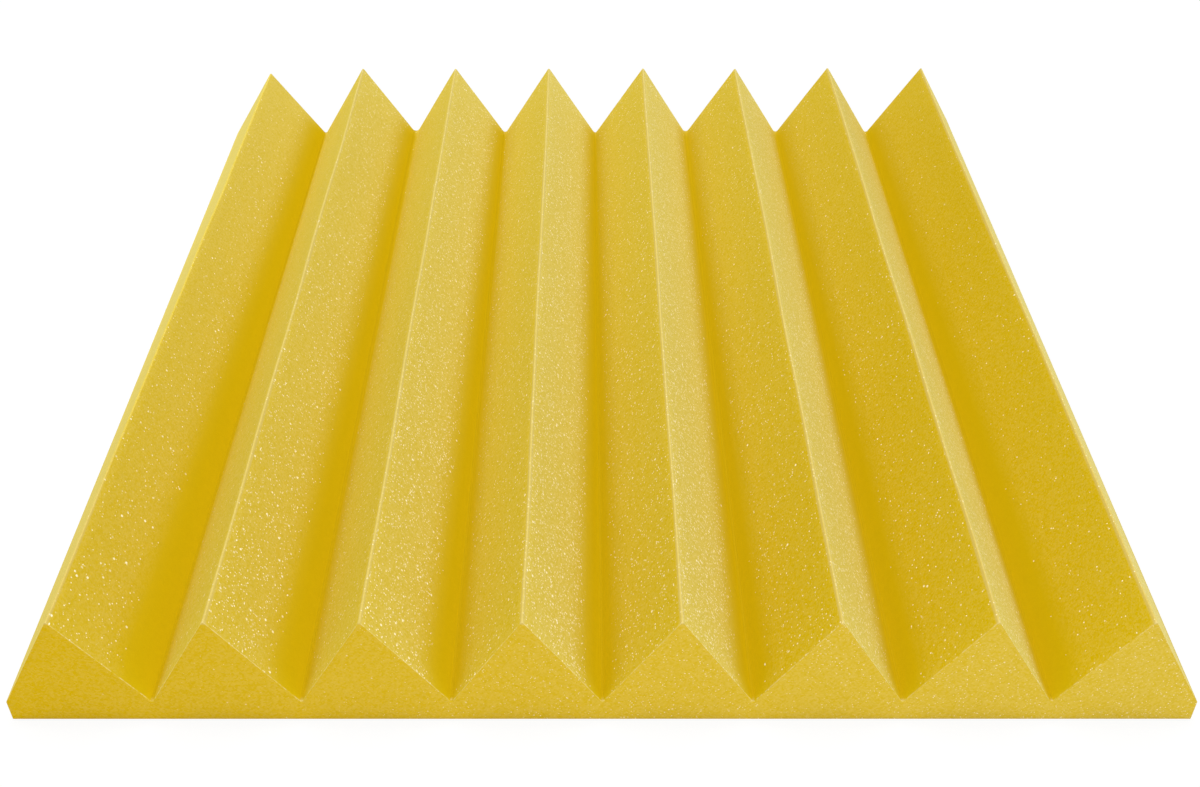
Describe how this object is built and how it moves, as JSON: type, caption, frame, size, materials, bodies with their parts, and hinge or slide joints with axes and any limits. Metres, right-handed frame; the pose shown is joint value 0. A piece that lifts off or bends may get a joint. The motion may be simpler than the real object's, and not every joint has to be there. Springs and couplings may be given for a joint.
{
  "type": "acoustic foam panel",
  "caption": "Square acoustic foam tile cut into straight parallel wedges on the front, flat on the back for sticking to a wall or ceiling.",
  "frame": {"origin": "centre of the flat back face, which is the bottom face when the panel lies with its wedges up", "axes": "+Z from the back face to the ridges, which is out of the wall when it is mounted; Y along the ridges; X across them"},
  "size_m": [0.5, 0.5, 0.06],
  "materials": {
    "foam": "matt open-cell polyurethane foam, knife cut, golden yellow"
  },
  "bodies": {
    "root": {"foam_panel": "foam"}
  },
  "joints": []
}
